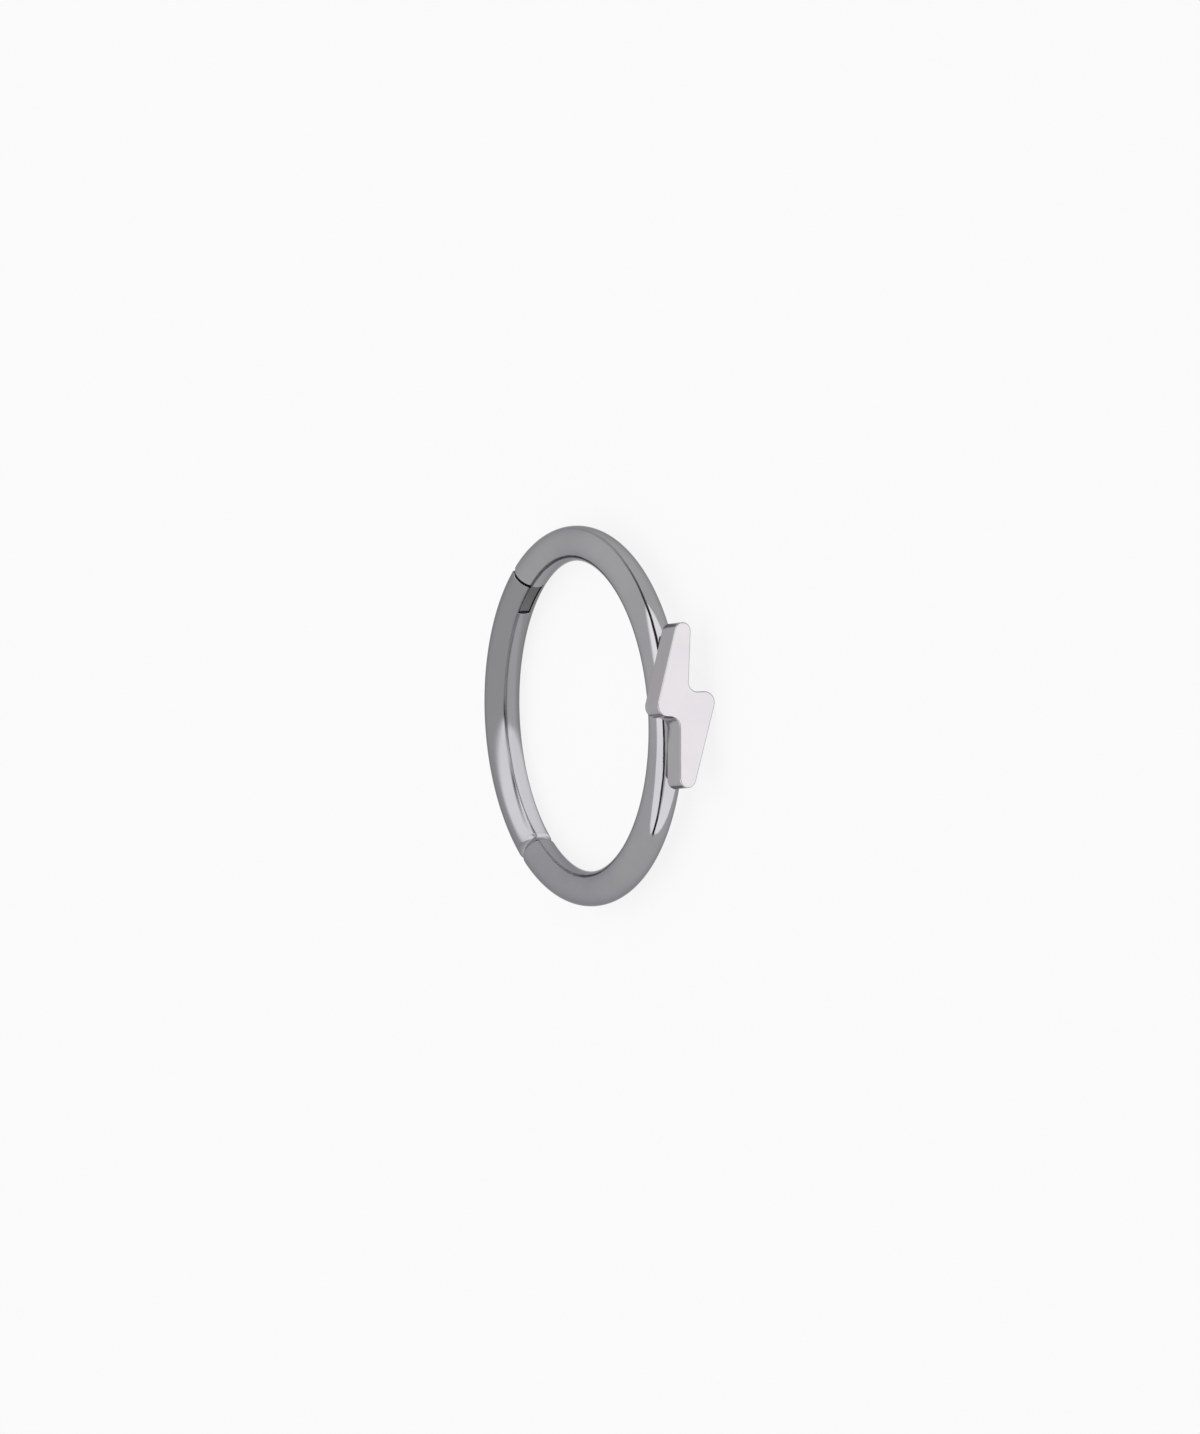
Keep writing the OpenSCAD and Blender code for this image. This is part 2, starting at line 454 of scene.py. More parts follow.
# %% Make the hoop's wire
hoop_start = CLASP_DEG + clasp_half_deg - 360
hoop_wire = spin_wire("hoop_wire", hoop_start, PIN_DEG + OVERRUN_DEG)
round_end(hoop_wire, hoop_start, HOOP_RIM_R)
mill(hoop_wire, ear_space, TONGUE_HALF, SIDE)
mill(hoop_wire, ear_space, -SIDE, -TONGUE_HALF)
mill(hoop_wire, tongue_end, -SLOT_HALF, SLOT_HALF)
mill(hoop_wire, tongue_sink, -SLOT_HALF, SLOT_HALF)
drill(hoop_wire, HOLE_R, SLOT_HALF)
combine(hoop_wire, spin_nose(NOSE_GAP, NOSE_ROOT + CLASP_GAP), "DIFFERENCE")
break_edges(hoop_wire, pin_in_ring, HINGE_REACH)
lay_down(hoop_wire)
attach(hoop_wire, "hoop")
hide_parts("hoop")

# %% [markdown]
# ## The gate
# The gate is the same wire with the other half of each joint: two ears at the hinge and the nose
# at the clasp. The pin is pressed into the ears, welded over and polished away, so the photo shows
# no trace of it. Its bore is therefore drilled from the slot and stops just under the surface.

# %% Make the gate
BORE_HALF = 0.43
gate_end = CLASP_DEG - clasp_half_deg
gate_wire = spin_wire("gate_wire", PIN_DEG - OVERRUN_DEG, gate_end)
round_end(gate_wire, gate_end, GATE_RIM_R)
mill(gate_wire, ear_end, -SIDE, SIDE)
mill(gate_wire, slot, -SLOT_HALF, SLOT_HALF)
drill(gate_wire, PIN_R, BORE_HALF)
combine(gate_wire, spin_nose(0, NOSE_ROOT), "UNION")
break_edges(gate_wire, pin_in_ring, HINGE_REACH)
lay_down(gate_wire)
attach(gate_wire, "gate")
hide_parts("gate")

# %% [markdown]
# ## The pin
# The real pin is a short end of steel wire with its two rims chamfered, so that it starts straight
# when it is pressed in. A cylinder with a small bevel on each rim is all that it needs. It rides on
# the gate, because the ears hold it and the tongue turns around it.

# %% Make the pin
PIN_CHAMFER = 0.02
pin = add("cylinder", vertices=ROUND, radius=PIN_R, depth=2 * BORE_HALF, location=pin_in_ring)
pin.name = "pin"
apply_place()
edit()
rims = pick(pin, "edges", lambda e: abs(middle(e).z) > BORE_HALF - HAIR)
bpy.ops.mesh.bevel(offset=PIN_CHAMFER, segments=2, affect="EDGES")
done()
print("chamfered", rims, "edges of the pin")
lay_down(pin)
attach(pin, "gate")
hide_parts("hinge_pin")

# %% [markdown]
# ## The lightning bolt
# The bolt is a flat plate, sawn out, lapped flat on the front and soldered to the wire. Its
# outline is already in the frame, so it isn't drawn a second time: a copy of the hoop's CAD mesh
# gives up the flat front face. That face is dissolved to one outline, extruded back to the wire
# and bevelled. The corners along the front are softer than those along the back.

# %% Lift the bolt's outline from the frame
BOLT_FRONT = 6.25
BOLT_BACK = 5.45
FRONT_MARGIN = 0.01
FACES_OUT = 0.99
STILL_FLAT_DEG = 1
bolt = bpy.data.objects.new("lightning_bolt", frame["nodes"]["hoop"].data.copy())
bpy.context.scene.collection.objects.link(bolt)
bolt.data.materials.clear()
only(bolt)
bolt.matrix_world = (Matrix.Scale(MM, 4) @ Matrix.Translation(ring_centre) @ lean).inverted()
apply_place()
edit()
bpy.ops.mesh.select_all(action="SELECT")
bpy.ops.mesh.remove_doubles(threshold=HAIR)
others = pick(
    bolt, "faces", lambda f: middle(f).x < BOLT_FRONT - FRONT_MARGIN or f.normal.x < FACES_OUT)
bpy.ops.mesh.delete(type="FACE")
bpy.ops.mesh.select_all(action="SELECT")
bpy.ops.mesh.dissolve_limited(angle_limit=math.radians(STILL_FLAT_DEG))
done()
print("kept", len(bolt.data.polygons), "face with", len(bolt.data.vertices), "points, left", others)

# %% [markdown]
# The outline is extruded in three steps, a thin one at the front and at the back and the rest
# between them. The bevels then take only the thin ones, and the walls between stay flat. The
# front face gets a narrow inset for the same reason.

# %% Extrude and bevel the bolt
FRONT_EDGE = 0.055
BACK_EDGE = 0.035
plate = BOLT_FRONT - BOLT_BACK
edit()
bpy.ops.mesh.select_mode(type="FACE")
bpy.ops.mesh.select_all(action="SELECT")
front_step = FRONT_EDGE + HOLDING
back_step = BACK_EDGE + HOLDING
for depth in (front_step, plate - front_step - back_step, back_step):
    pull((-depth, 0, 0))
face_out()
for place, radius in ((BOLT_FRONT, FRONT_EDGE), (BOLT_BACK, BACK_EDGE)):
    pick(bolt, "edges", lambda e: all(abs(v.co.x - place) < HAIR for v in e.verts))
    bpy.ops.mesh.bevel(offset=radius, segments=6, profile=0.5, affect="EDGES")
pick(bolt, "faces", lambda f: len(f.verts) > 4)
bpy.ops.mesh.inset(thickness=HOLDING)
done()
lay_down(bolt)
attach(bolt, "hoop")
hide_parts("hoop")

# %% [markdown]
# ## Materials
# The whole ring is one grey metal with a buffed polish, and most of what the eye reads as polish is
# the room, mirrored. Two small things tell it from a perfect mirror: the buffing wheel leaves
# hair-fine marks, and the polish is a little hazier in some places. On the hoop and the gate, a
# painted light also makes the grey a few percent lighter towards one side of the ring. Marks and
# haze belong to all the pieces, so each is a node group with named sockets, which every material
# then uses with its own values.

# %% Helpers for node trees
def add_node(tree, kind, values=None, **settings):
    """Adds one node, with its settings and the values of its unlinked inputs."""
    made = tree.nodes.new("ShaderNode" + kind)
    for key, value in settings.items():
        setattr(made, key, value)
    for key, value in (values or {}).items():
        made.inputs[key].default_value = value
    return made


def wire_up(tree, *pairs):
    """Links outputs to inputs, given as pairs."""
    for source, target in pairs:
        tree.links.new(source, target)


def new_group(name, inputs, outputs):
    """An empty node group with named sockets. Returns its tree and the nodes at its two ends."""
    tree = bpy.data.node_groups.new(name, "ShaderNodeTree")
    for label, kind, value in inputs:
        socket = tree.interface.new_socket(label, in_out="INPUT", socket_type="NodeSocket" + kind)
        if value is not None:
            socket.default_value = value
    for label, kind in outputs:
        tree.interface.new_socket(label, in_out="OUTPUT", socket_type="NodeSocket" + kind)
    return tree, tree.nodes.new("NodeGroupInput"), tree.nodes.new("NodeGroupOutput")


# %% [markdown]
# A buffing wheel runs along the wire, so its marks do too. A texture has to be stretched along a
# curve for that. This group turns a place on the wire into two distances: how far along the ring,
# and how far around the wire. Any texture that reads them follows the bend. The group also gives the
# depth below the round skin of the wire. The wheel doesn't get down into the hinge and the clasp, so
# the metal is dull there, and the depth also places a painted shade in the hinge and a painted light
# in the clasp.

# %% Group: coordinates along the wire
def wire_coordinates():
    tree, start, end = new_group(
        "wire_coordinates", [("Place", "Vector", None)],
        [("Along And Around", "Vector"), ("Depth", "Float")])
    parts = add_node(tree, "SeparateXYZ")
    flat = add_node(tree, "VectorMath", {1: (1, 1, 0)}, operation="MULTIPLY")
    radius = add_node(tree, "VectorMath", operation="LENGTH")
    outward = add_node(tree, "Math", {1: RING_R}, operation="SUBTRACT")
    turn = add_node(tree, "Math", operation="ARCTAN2")
    around = add_node(tree, "Math", operation="ARCTAN2")
    along_mm = add_node(tree, "Math", {1: RING_R}, operation="MULTIPLY")
    around_mm = add_node(tree, "Math", {1: WIRE_R}, operation="MULTIPLY")
    join = add_node(tree, "CombineXYZ")
    section = add_node(tree, "CombineXYZ")
    from_middle = add_node(tree, "VectorMath", operation="LENGTH")
    depth = add_node(tree, "Math", {0: WIRE_R}, operation="SUBTRACT")
    wire_up(
        tree,
        (start.outputs["Place"], parts.inputs[0]),
        (start.outputs["Place"], flat.inputs[0]),
        (flat.outputs["Vector"], radius.inputs[0]),
        (radius.outputs["Value"], outward.inputs[0]),
        (parts.outputs["Y"], turn.inputs[0]),
        (parts.outputs["X"], turn.inputs[1]),
        (parts.outputs["Z"], around.inputs[0]),
        (outward.outputs[0], around.inputs[1]),
        (turn.outputs[0], along_mm.inputs[0]),
        (around.outputs[0], around_mm.inputs[0]),
        (along_mm.outputs[0], join.inputs["X"]),
        (around_mm.outputs[0], join.inputs["Y"]),
        (join.outputs[0], end.inputs["Along And Around"]),
        (outward.outputs[0], section.inputs["X"]),
        (parts.outputs["Z"], section.inputs["Y"]),
        (section.outputs[0], from_middle.inputs[0]),
        (from_middle.outputs["Value"], depth.inputs[1]),
        (depth.outputs[0], end.inputs["Depth"]),
    )
    return tree


# %% [markdown]
# The marks themselves could be painted, but at this scale there would be thousands. A noise that is
# squeezed across the wire and left long along it gives streaks of any fineness. The group counts
# them in marks to the millimetre, so that each metal can say how fine its last wheel was.

# %% Group: marks of the buffing wheel
def buffing_marks():
    """Fine streaks along X of the place that goes in, as a height from 0 to 1."""
    tree, start, end = new_group(
        "buffing_marks",
        [("Place", "Vector", None), ("Marks Per Millimetre", "Float", 20.0),
         ("Stretch", "Float", 30.0)],
        [("Height", "Float")])
    scale = add_node(tree, "CombineXYZ", {"X": 1})
    stretched = add_node(tree, "VectorMath", operation="MULTIPLY")
    frequency = add_node(tree, "Math", operation="DIVIDE")
    streaks = add_node(tree, "TexNoise", {"Detail": 3, "Roughness": 0.6})
    wire_up(
        tree,
        (start.outputs["Stretch"], scale.inputs["Y"]),
        (start.outputs["Stretch"], scale.inputs["Z"]),
        (start.outputs["Place"], stretched.inputs[0]),
        (scale.outputs[0], stretched.inputs[1]),
        (start.outputs["Marks Per Millimetre"], frequency.inputs[0]),
        (start.outputs["Stretch"], frequency.inputs[1]),
        (stretched.outputs["Vector"], streaks.inputs["Vector"]),
        (frequency.outputs[0], streaks.inputs["Scale"]),
        (streaks.outputs["Fac"], end.inputs[0]),
    )
    return tree


# %% [markdown]
# Fingers, dust and an uneven wheel leave a polish clearer in some places than in others. Large soft
# clouds of noise do that without a visible edge. Their middle is spread to the full range, so that
# some places are quite clear, and the rest stays within what the metal's own two greys allow.

# %% Group: haze in the polish
def polish_haze():
    """Soft clouds from 0, clear, to 1, hazy, with a finer mottle inside them."""
    tree, start, end = new_group(
        "polish_haze",
        [("Place", "Vector", None), ("Clouds Per Millimetre", "Float", 0.6)],
        [("Haze", "Float")])
    clouds = add_node(tree, "TexNoise", {"Detail": 4, "Roughness": 0.55})
    spread = add_node(tree, "MapRange", {"From Min": 0.35, "From Max": 0.68},
                      interpolation_type="SMOOTHSTEP")
    wire_up(
        tree,
        (start.outputs["Place"], clouds.inputs["Vector"]),
        (start.outputs["Clouds Per Millimetre"], clouds.inputs["Scale"]),
        (clouds.outputs["Fac"], spread.inputs["Value"]),
        (spread.outputs["Result"], end.inputs[0]),
    )
    return tree


WIRE_COORDINATES = wire_coordinates()
BUFFING_MARKS = buffing_marks()
POLISH_HAZE = polish_haze()
print("node groups:", [g.name for g in bpy.data.node_groups])


# %% [markdown]
# Each metal starts from Object coordinates, which stay with the piece when the gate swings. A
# Mapping node leans them back into the ring's frame and counts them in millimetres. A bare metal
# has no clear layer, only a colour that it mirrors with. That colour gets duller where the surface
# is seen edge on, which is the Specular Tint of a metal. The marks are about a micrometre deep.

# %% Start a metal
MARK_DEPTH = 0.0000012
EDGE_ON = (0.55, 0.55, 0.57, 1)


def placed_group(tree, group, **values):
    """Places a node group and sets its inputs by their names."""
    made = add_node(tree, "Group")
    made.node_tree = group
    for key, value in values.items():
        made.inputs[key.replace("_", " ").title()].default_value = value
    return made


def start_metal(name, turn_deg, clear, hazy, polish, marks, stretch, clouds):
    """A metal between two greys and two roughnesses, with the nodes that are still unlinked."""
    made = bpy.data.materials.new(name)
    made.use_nodes = True
    tree = made.node_tree
    shader = tree.nodes["Principled BSDF"]
    shader.inputs["Metallic"].default_value = 1
    shader.inputs["Specular Tint"].default_value = EDGE_ON
    into_ring = Matrix.Rotation(math.radians(turn_deg), 4, "Z") @ lean.inverted()
    coords = add_node(tree, "TexCoord")
    place = add_node(tree, "Mapping", {
        "Location": into_ring @ -ring_centre,
        "Rotation": into_ring.to_euler("XYZ"),
        "Scale": (1 / MM, 1 / MM, 1 / MM),
    })
    haze = placed_group(tree, POLISH_HAZE, clouds_per_millimetre=clouds)
    streaks = placed_group(tree, BUFFING_MARKS, marks_per_millimetre=marks, stretch=stretch)
    colour = add_node(tree, "Mix", {"A": (*clear, 1), "B": (*hazy, 1)}, data_type="RGBA")
    rough = add_node(tree, "MapRange", {"To Min": polish[0], "To Max": polish[1]})
    bump = add_node(tree, "Bump", {"Distance": MARK_DEPTH})
    wire_up(
        tree,
        (coords.outputs["Object"], place.inputs["Vector"]),
        (place.outputs["Vector"], haze.inputs["Place"]),
        (haze.outputs["Haze"], rough.inputs["Value"]),
        (streaks.outputs["Height"], bump.inputs["Height"]),
        (bump.outputs["Normal"], shader.inputs["Normal"]),
    )
    return SimpleNamespace(
        made=made, tree=tree, shader=shader, place=place.outputs["Vector"],
        haze=haze.outputs["Haze"], streaks=streaks, colour=colour, rough=rough)


# %% [markdown]
# The bolt and the pin were polished in one straight direction. The place is turned so that their
# marks run along Y, which is the bolt's long side, and the haze alone moves their grey.

# %% A metal with straight marks
ALONG_Y_DEG = -90


def straight_metal(name, **looks):
    """A metal for a piece that was polished in one straight direction."""
    metal = start_metal(name, ALONG_Y_DEG, **looks)
    wire_up(
        metal.tree,
        (metal.place, metal.streaks.inputs["Place"]),
        (metal.haze, metal.colour.inputs["Factor"]),
        (metal.colour.outputs["Result"], metal.shader.inputs["Base Color"]),
        (metal.rough.outputs["Result"], metal.shader.inputs["Roughness"]),
    )
    return metal.made


# %% [markdown]
# Hoop and gate need more. Their place is turned so that the angle around the ring jumps from one end
# of its range to the other in the gap of the clasp, where nothing shows it. A painted light also
# makes their grey lighter towards one side of the ring and darker towards the side across from it.

# %% Painted light across the ring
CLASP_TO_JUMP_DEG = 180 - CLASP_DEG
SIDE_LIGHT_SHARE = 0.65
BRIGHTEST_DEG = 70.0


def painted_side_light(tree, place, haze):
    """The haze, mixed with a painted light that is brightest on one side of the ring and fades to
    the other.
    """
    # Painted light: the grey is lighter towards one side of the ring
    towards_brightest = at_ring(1, BRIGHTEST_DEG + CLASP_TO_JUMP_DEG)
    bright_side = add_node(tree, "VectorMath", {1: towards_brightest}, operation="DOT_PRODUCT")
    side = add_node(tree, "MapRange", {"From Min": RING_R, "From Max": -RING_R})
    side_light = add_node(tree, "Mix", {"Factor": SIDE_LIGHT_SHARE})
    wire_up(
        tree,
        (place, bright_side.inputs[0]),
        (bright_side.outputs["Value"], side.inputs["Value"]),
        (haze, side_light.inputs["A"]),
        (side.outputs["Result"], side_light.inputs["B"]),
    )
    return side_light.outputs["Result"]


# %% [markdown]
# The wheel doesn't reach into the joints, so the metal there is dull. That begins right under the
# round skin at the hinge and deeper at the clasp. Its colour there is painted light and shade: a
# painted shade darkens the hinge's recess between ears and tongue, and a painted light brightens the
# groove between the two ends at the clasp. The distance from the pin tells the two apart.

# %% Under the skin of the wire
# Painted shade for the hinge's recess and painted light for the clasp's groove
HINGE_SHADE_COLOUR = (0.165, 0.165, 0.168, 1)
CLASP_LIGHT_COLOUR = (0.62, 0.61, 0.63, 1)
MILLED_ROUGHNESS = 0.4
SKIN = 0.006
DEPTH_AT_HINGE = 0.045
DEPTH_AT_CLASP = 0.15
HINGE_CORE = 1.0


def under_skin(tree, place, bent):
    """How bare the metal is, from 0 on the skin to 1 below it, and its painted colour there: shade
    at the hinge, light at the clasp.
    """
    pin_turned = at_ring(RING_R, PIN_DEG + CLASP_TO_JUMP_DEG)
    from_pin = add_node(tree, "VectorMath", {1: pin_turned}, operation="DISTANCE")
    reach = {"From Min": HINGE_CORE, "From Max": HINGE_REACH}
    full = add_node(tree, "MapRange", {**reach, "To Min": DEPTH_AT_HINGE, "To Max": DEPTH_AT_CLASP})
    at_clasp = add_node(tree, "MapRange", reach)
    bare_and_painted = add_node(tree, "MapRange", {"From Min": SKIN}, interpolation_type="SMOOTHSTEP")
    # Painted colour of the joints: shade at the hinge, light at the clasp
    tone = add_node(tree, "Mix", {"A": HINGE_SHADE_COLOUR, "B": CLASP_LIGHT_COLOUR}, data_type="RGBA")
    wire_up(
        tree,
        (place, from_pin.inputs[0]),
        (from_pin.outputs["Value"], full.inputs["Value"]),
        (from_pin.outputs["Value"], at_clasp.inputs["Value"]),
        (full.outputs["Result"], bare_and_painted.inputs["From Max"]),
        (bent.outputs["Depth"], bare_and_painted.inputs["Value"]),
        (at_clasp.outputs["Result"], tone.inputs["Factor"]),
    )
    return bare_and_painted.outputs["Result"], tone.outputs["Result"]


# %% [markdown]
# The painted side light and the joints are put together here. The polished grey and the painted
# shade and light of the joints are mixed by how deep the place lies under the skin, and the two
# roughnesses, polished and dull, in the same way. The marks and the depth both come from the group
# that follows the bend of the wire.

# %% A metal that follows the wire
def wire_metal(name, **looks):
    """A metal for the round wire, with a painted light across the ring, and dull with painted shade
    and light inside the joints.
    """
    metal = start_metal(name, CLASP_TO_JUMP_DEG, **looks)
    tree = metal.tree
    bent = placed_group(tree, WIRE_COORDINATES)
    bare_and_painted, tone = under_skin(tree, metal.place, bent)
    # The joints' painted shade and light, laid over the polished grey
    painted_joints = add_node(tree, "Mix", data_type="RGBA")
    dull = add_node(tree, "Mix", {"B": MILLED_ROUGHNESS})
    wire_up(
        tree,
        (metal.place, bent.inputs["Place"]),
        (bent.outputs["Along And Around"], metal.streaks.inputs["Place"]),
        (painted_side_light(tree, metal.place, metal.haze), metal.colour.inputs["Factor"]),
        (bare_and_painted, painted_joints.inputs["Factor"]),
        (bare_and_painted, dull.inputs["Factor"]),
        (metal.colour.outputs["Result"], painted_joints.inputs["A"]),
        (tone, painted_joints.inputs["B"]),
        (metal.rough.outputs["Result"], dull.inputs["A"]),
        (painted_joints.outputs["Result"], metal.shader.inputs["Base Color"]),
        (dull.outputs["Result"], metal.shader.inputs["Roughness"]),
    )
    return metal.made


# %% [markdown]
# Hoop and gate are the same metal, but they were polished apart, and the photo shows the gate a
# shade darker and cooler. The bolt's front was lapped on a flat plate, so its marks run straight
# along the bolt and its polish is the softest. The pin keeps the fine turning marks of a bought pin.

# %% Dress the pieces
def dress(piece, material):
    """Gives a piece one material only."""
    piece.data.materials.clear()
    piece.data.materials.append(material)


dress(hoop_wire, wire_metal(
    "hoop_metal", clear=(0.448, 0.44, 0.455), hazy=(0.362, 0.358, 0.378), polish=(0.03, 0.06),
    marks=22, stretch=40, clouds=0.5))
dress(gate_wire, wire_metal(
    "gate_metal", clear=(0.34, 0.338, 0.354), hazy=(0.322, 0.32, 0.336), polish=(0.09, 0.15),
    marks=22, stretch=40, clouds=0.6))
dress(bolt, straight_metal(
    "bolt_metal", clear=(0.502, 0.484, 0.503), hazy=(0.488, 0.471, 0.493), polish=(0.12, 0.2),
    marks=30, stretch=25, clouds=0.8))
dress(pin, straight_metal(
    "pin_steel", clear=(0.35, 0.35, 0.36), hazy=(0.32, 0.32, 0.33), polish=(0.14, 0.22),
    marks=40, stretch=12, clouds=1.5))
print("metals:", [piece.data.materials[0].name for piece in (hoop_wire, gate_wire, bolt, pin)])

# %% [markdown]
# ## Floor, light and camera
# Polished metal has no look of its own, so its light is planned from what each part of it mirrors.
# A ring of round wire mirrors nearly the whole room. The grey comes from a plain grey room, the
# bright bands come from softboxes, and the black hairline from a strip of black card. A
# photographer often lights a jewel in several exposures, one for each part, and joins them. Light
# linking does the same here: a lamp is given the pieces that it may light.
# The photo's metal mirrors no table, as if the ring hung in the middle of the room. So the table is
# left out of every mirror, and the softboxes reach past it, above and below.

# %% The table
TABLE_R = 3.0
PAPER = 0.1
MOTTLE = 0.01
GRAINS_PER_METRE = 900
GLOW = 0.845
scene = bpy.context.scene
floor = add("circle", vertices=SECTION_POINTS, radius=TABLE_R, fill_type="NGON")
floor.name = "floor"
floor.visible_glossy = False
floor.visible_shadow = False


def pale_table():
    """Matte paper that glows a little, as a lit table does in a camera that is set for it."""
    made = bpy.data.materials.new("pale_table")
    made.use_nodes = True
    tree = made.node_tree
    paper = tree.nodes["Principled BSDF"]
    paper.inputs["Roughness"].default_value = 0.9
    paper.inputs["Specular IOR Level"].default_value = 0.1
    paper.inputs["Emission Color"].default_value = (1, 1, 1, 1)
    paper.inputs["Emission Strength"].default_value = GLOW
    coords = add_node(tree, "TexCoord")
    grain = add_node(tree, "TexNoise", {"Scale": GRAINS_PER_METRE, "Detail": 3})
    low, high = PAPER * (1 - MOTTLE), PAPER * (1 + MOTTLE)
    tone = add_node(tree, "Mix", {"A": (low, low, low, 1), "B": (high, high, high, 1)},
                    data_type="RGBA")
    wire_up(
        tree,
        (coords.outputs["Object"], grain.inputs["Vector"]),
        (grain.outputs["Fac"], tone.inputs["Factor"]),
        (tone.outputs["Result"], paper.inputs["Base Color"]),
    )
    return made


dress(floor, pale_table())
print("table %.0f m across, glowing at %.3f" % (2 * TABLE_R, GLOW))

# %% [markdown]
# The room is one even grey, bright enough to give the wire its middle tone. Where the camera looks
# past the table it sees the table's own pale tone, so that low views have no grey band.

# %% The room
GREY_ROOM = 0.76
PALE_ROOM = 0.955
scene.view_settings.view_transform = "Standard"
world = bpy.data.worlds.new("studio")
scene.world = world
world.use_nodes = True
tree = world.node_tree
grey = tree.nodes["Background"]
grey.inputs["Color"].default_value = (1, 1, 1, 1)
grey.inputs["Strength"].default_value = GREY_ROOM
pale = add_node(tree, "Background", {"Color": (1, 1, 1, 1), "Strength": PALE_ROOM})
path = add_node(tree, "LightPath")
choice = add_node(tree, "MixShader")
wire_up(
    tree,
    (path.outputs["Is Camera Ray"], choice.inputs[0]),
    (grey.outputs[0], choice.inputs[1]),
    (pale.outputs[0], choice.inputs[2]),
    (choice.outputs[0], tree.nodes["World Output"].inputs["Surface"]),
)
print("room", GREY_ROOM, "seen by the camera as", PALE_ROOM)

# %% [markdown]
# A softbox is linked to a collection of pieces and lights nothing else. So the pieces are gathered
# first: the hoop with its bolt, the gate with its pin, and all four for the table's own lamp.

# %% Collections to link lamps to
def gather(name, *pieces):
    """Puts some pieces into a collection. They stay in the scene's own one too."""
    made = bpy.data.collections.new(name)
    for piece in pieces:
        made.objects.link(piece)
    return made


for_hoop = gather("lit_with_the_hoop", hoop_wire, bolt)
for_gate = gather("lit_with_the_gate", gate_wire, pin)
ring_pieces = gather("ring_pieces", hoop_wire, bolt, gate_wire, pin)
print("collections:", [made.name for made in (for_hoop, for_gate, ring_pieces)])

# %% [markdown]
# Softboxes stand around the ring like the walls of a room. Their corners are given in shares of the
# ceiling's height, a quarter of a metre. Cloth in front of a bulb has soft and slanted edges where
# it is folded back. An edge is given as a direction, and as the two places along it where the light
# begins and where it is full. The softboxes show only in the metal. The table has a lamp of its own,
# which the metal doesn't mirror.

# %% Helpers for softboxes
CEILING = 0.25


def lamp(name, place, size, brightness, aim=(0, 0, -1)):
    """An area lamp that looks equally bright from everywhere in front of it."""
    turn = Vector(aim).to_track_quat("-Z", "Y").to_matrix().to_4x4()
    data = bpy.data.lights.new(name, "AREA")
    data.shape = "RECTANGLE"
    data.size, data.size_y = size
    data.energy = brightness * math.pi * size[0] * size[1]
    obj = bpy.data.objects.new(name, data)
    scene.collection.objects.link(obj)
    obj.matrix_world = Matrix.Translation(place) @ turn
    obj.visible_camera = False
    return obj


def fold_edges(obj, edges):
    """Softens and slants a lamp's edges. Each is a direction, its first light and its full light."""
    obj.data.use_nodes = True
    tree = obj.data.node_tree
    spot = add_node(tree, "NewGeometry")
    level = None
    for direction, first, full in edges:
        along = add_node(tree, "VectorMath", {1: direction}, operation="DOT_PRODUCT")
        reach = {"From Min": first * CEILING, "From Max": full * CEILING}
        edge = add_node(tree, "MapRange", reach, interpolation_type="SMOOTHSTEP")
        wire_up(
            tree,
            (spot.outputs["Position"], along.inputs[0]),
            (along.outputs["Value"], edge.inputs["Value"]),
        )
        if level is None:
            level = edge.outputs["Result"]
            continue
        product = add_node(tree, "Math", operation="MULTIPLY")
        wire_up(tree, (level, product.inputs[0]), (edge.outputs["Result"], product.inputs[1]))
        level = product.outputs[0]
    wire_up(tree, (level, tree.nodes["Emission"].inputs["Strength"]))


def softbox(name, lights, low, high, brightness, edges):
    """A softbox from one corner to the other, flat in the axis that both share, facing the ring."""
    place = [(a + b) / 2 * CEILING for a, b in zip(low, high)]
    flat = [a == b for a, b in zip(low, high)].index(True)
    size = [(b - a) * CEILING for axis, (a, b) in enumerate(zip(low, high)) if axis != flat]
    aim = [-math.copysign(axis == flat, place[axis]) for axis in range(3)]
    obj = lamp(name, place, size, brightness, aim)
    fold_edges(obj, edges)
    obj.visible_diffuse = False
    obj.light_linking.receiver_collection = lights
    print(name, "middle", [round(v, 3) for v in place], "size", [round(v, 2) for v in size])


# %% [markdown]
# The hoop mirrors two softboxes overhead, one for each side of the bolt, and a tall one in front.

# %% Softboxes for the hoop
softbox("hoop_softbox_low", for_hoop, (-0.5, -3.4, 1), (1.7, 0, 1), 0.84, [
    ((1, 0.23, 0), -0.16, -0.05),
    ((-1, -0.16, 0), -1.0, -0.97),
    ((0, 1, 0), -3.4, -2.7),
])
softbox("hoop_softbox_high", for_hoop, (0, 0.2, 1), (3.2, 4.2, 1), 0.98, [
    ((1, -0.45, 0), 0.0, 0.3),
    ((0, 1, 0), 0.22, 0.45),
    ((-1, 0.5, 0), -1.08, -1.04),
    ((0, -1, 0), -4.0, -2.8),
])
softbox("hoop_softbox_front", for_hoop, (2, -8, -12), (2, 4.8, 1), 0.84, [
    ((0, 1, 0), -7.9, -7.5),
    ((0, -1, 0.8), -4.2, -3.5),
    ((0, 0, -1), -0.85, -0.5),
])

# %% [markdown]
# The gate mirrors three softboxes on the side of the hinge: one above, one below and one in front.
# A weak one fills in the other side from below.

